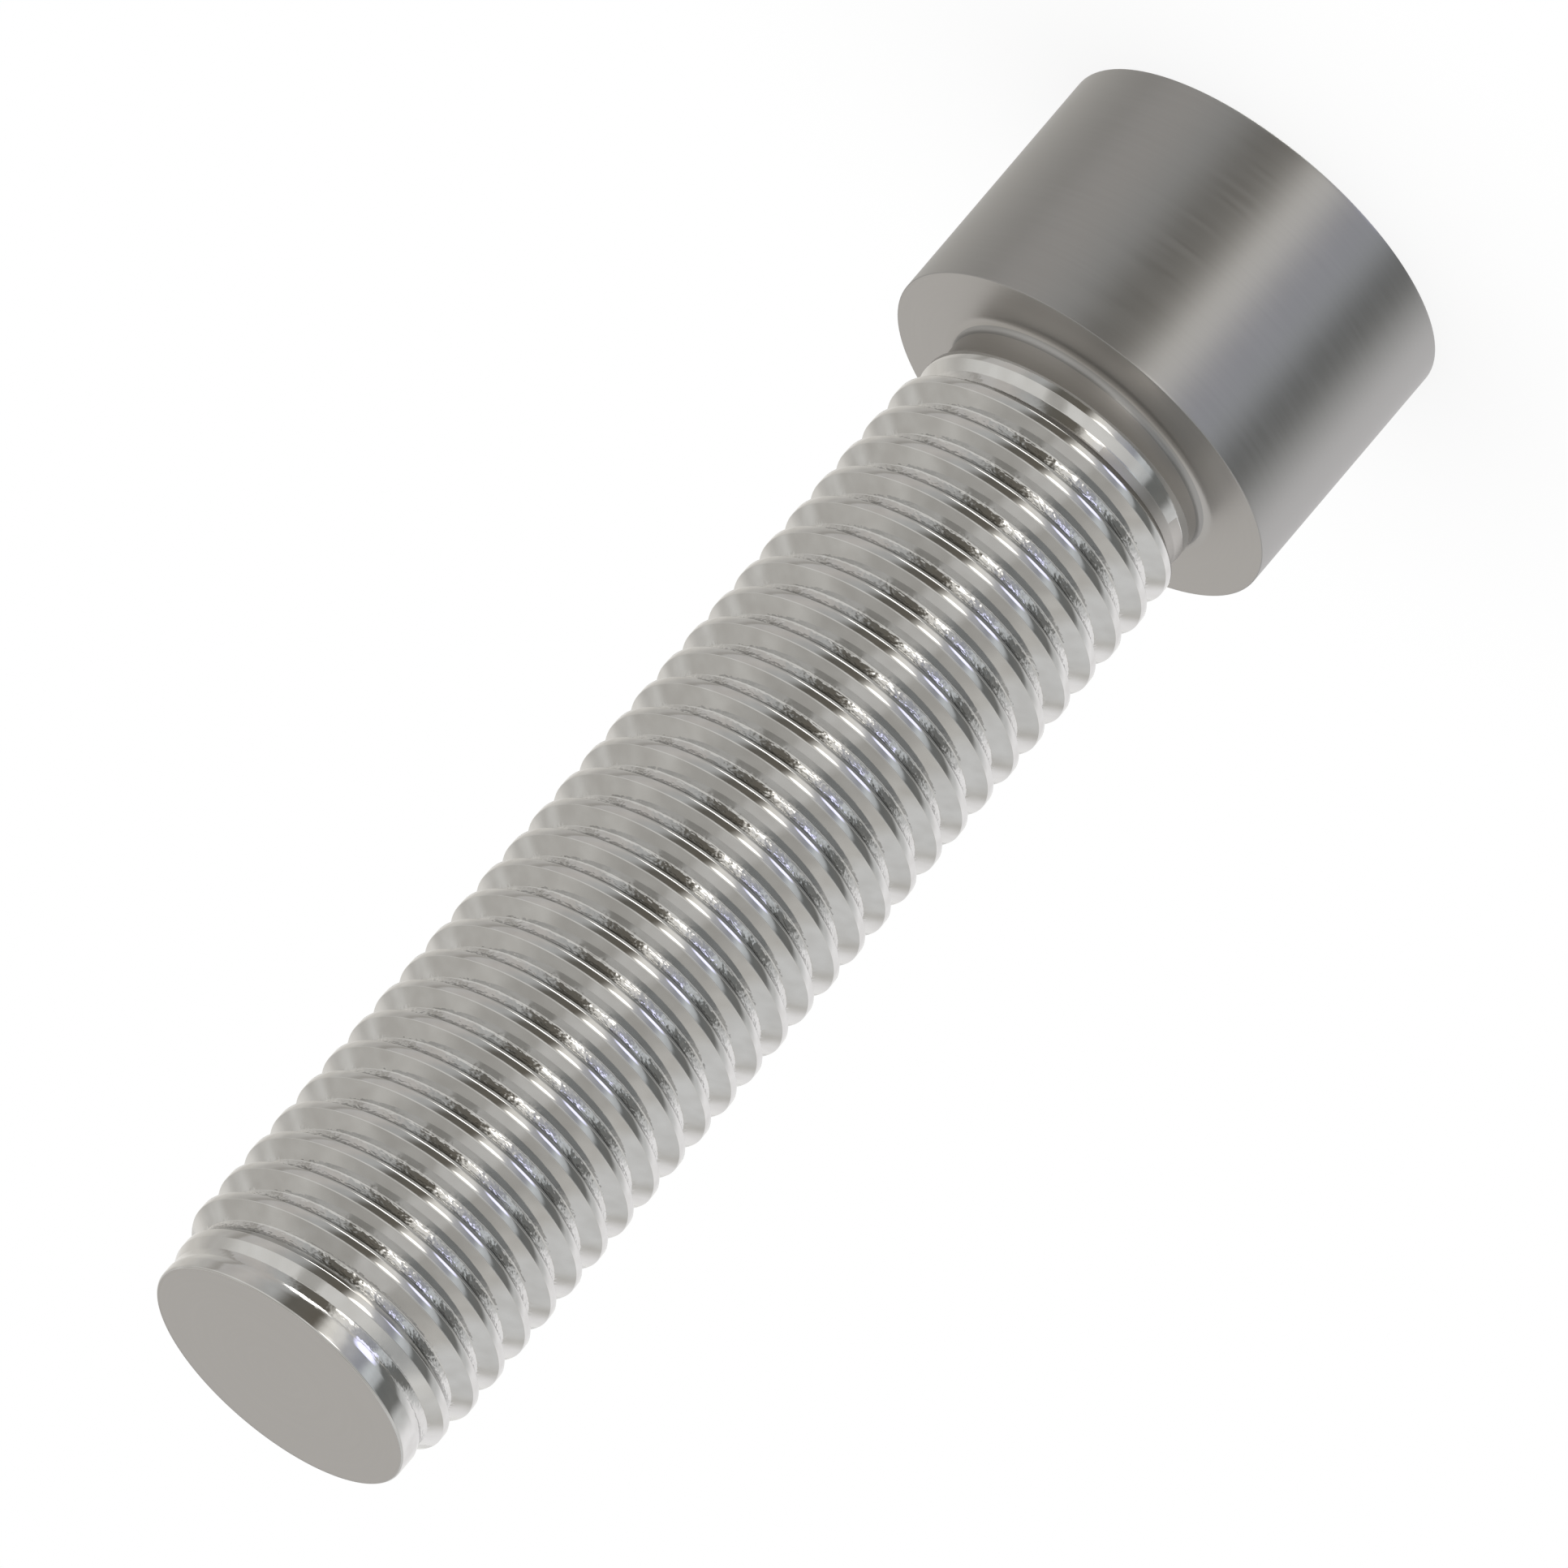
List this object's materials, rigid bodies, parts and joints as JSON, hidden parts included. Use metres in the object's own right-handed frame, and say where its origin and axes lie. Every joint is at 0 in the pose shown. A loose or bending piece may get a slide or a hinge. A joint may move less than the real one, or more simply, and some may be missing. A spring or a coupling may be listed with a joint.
{
  "type": "socket head cap screw",
  "caption": "Fully threaded steel cap screw with a plain cylindrical head and a hexagon socket, standing on its head.",
  "frame": {"origin": "centre of the head's top face, where the socket opens, which is the face the screw stands on", "axes": "+Z along the screw's axis from the head to the point; +X square to two flats of the socket"},
  "size_m": [0.016, 0.016, 0.0569],
  "materials": {
    "steel": "satin steel on the head and neck, bright rolled thread"
  },
  "bodies": {
    "root": {"cap_screw": "steel"}
  },
  "joints": []
}
